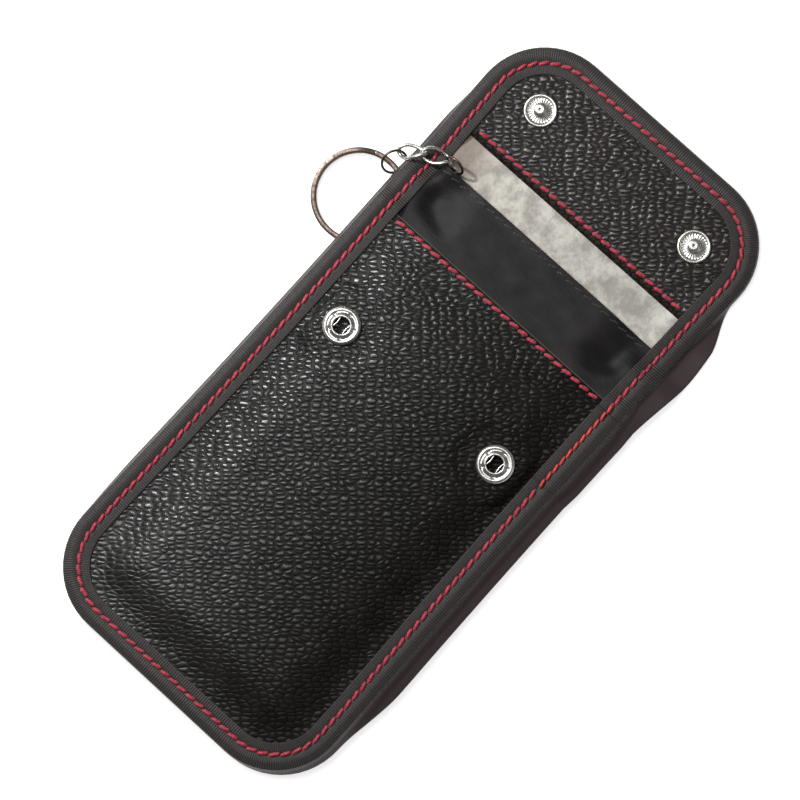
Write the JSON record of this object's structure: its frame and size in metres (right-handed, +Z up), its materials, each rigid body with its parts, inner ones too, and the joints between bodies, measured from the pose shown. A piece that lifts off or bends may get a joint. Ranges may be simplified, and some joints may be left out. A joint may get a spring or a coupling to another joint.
{
  "type": "faraday key pouch",
  "caption": "Soft signal-shielding pouch for car keys, laid open, with a fold-over flap, press studs, a bound and stitched edge, and a key ring on a short chain.",
  "frame": {"origin": "middle of the resting face of the back, half way along the open length", "axes": "+X across the pouch to the right, +Y along the length towards the flap's end, +Z up out of the front"},
  "size_m": [0.1136, 0.21, 0.0115],
  "materials": {
    "outer_leather": "pebbled, semi-matte",
    "binding_tape": "ribbed grosgrain",
    "red_thread": "twisted polyester",
    "black_thread": "twisted polyester",
    "shielding_cloth": "metallised, mottled",
    "satin_liner": "satin",
    "nickel": "bright nickel plate"
  },
  "bodies": {
    "pouch_body": {"back_panel": "outer_leather", "back_shield": "shielding_cloth", "front_shield": "shielding_cloth", "inner_liner": "satin_liner", "front_panel": "outer_leather", "body_binding": "binding_tape", "binding_overlap": "binding_tape", "body_binding_stitch": "red_thread", "pocket_stitch": "red_thread", "socket_left": "nickel", "socket_right": "nickel", "socket_spring_left": "nickel", "socket_spring_right": "nickel", "socket_cap_left": "nickel", "socket_cap_right": "nickel"},
    "flap": {"flap_panel": "outer_leather", "flap_shield": "shielding_cloth", "mouth_shield": "shielding_cloth", "mouth_liner": "satin_liner", "flap_facing": "outer_leather", "flap_binding": "binding_tape", "flap_binding_stitch": "red_thread", "facing_stitch": "red_thread", "mouth_stitch": "black_thread", "stud_left": "nickel", "stud_right": "nickel", "stud_post_left": "nickel", "stud_post_right": "nickel", "ribbon_loop": "satin_liner"},
    "mouth_ring": {"mouth_ring": "nickel"},
    "chain_link_inner": {"chain_link_inner": "nickel"},
    "chain_link_outer": {"chain_link_outer": "nickel"},
    "small_ring": {"small_ring": "nickel"},
    "split_key_ring": {"split_key_ring": "nickel"}
  },
  "joints": [
    {"name": "flap_fold", "type": "hinge", "parent": "pouch_body", "child": "flap", "pos_m": [0, 0.0446, 0.00779], "axis": [1, 0, 0], "range_deg": [0, 180]},
    {"name": "mouth_ring_swing", "type": "hinge", "parent": "flap", "child": "mouth_ring", "pos_m": [-0.03575, 0.05677, 0.00254], "axis": [0, 0, 1], "range_deg": [-8, 0]},
    {"name": "inner_link_swing", "type": "hinge", "parent": "mouth_ring", "child": "chain_link_inner", "pos_m": [-0.0383, 0.05798, 0.00537], "axis": [0, 0, 1], "range_deg": [-10, 0]},
    {"name": "outer_link_swing", "type": "hinge", "parent": "chain_link_inner", "child": "chain_link_outer", "pos_m": [-0.04451, 0.05522, 0.00613], "axis": [0, 0, 1], "range_deg": [-15, 0]},
    {"name": "small_ring_swing", "type": "hinge", "parent": "chain_link_outer", "child": "small_ring", "pos_m": [-0.04956, 0.05072, 0.00388], "axis": [0, 0, 1], "range_deg": [-12, 0]},
    {"name": "key_ring_turn", "type": "hinge", "parent": "small_ring", "child": "split_key_ring", "pos_m": [-0.0507, 0.0341, 0.00154], "axis": [0.0231, -0.0401, 0.9989], "continuous": true}
  ]
}
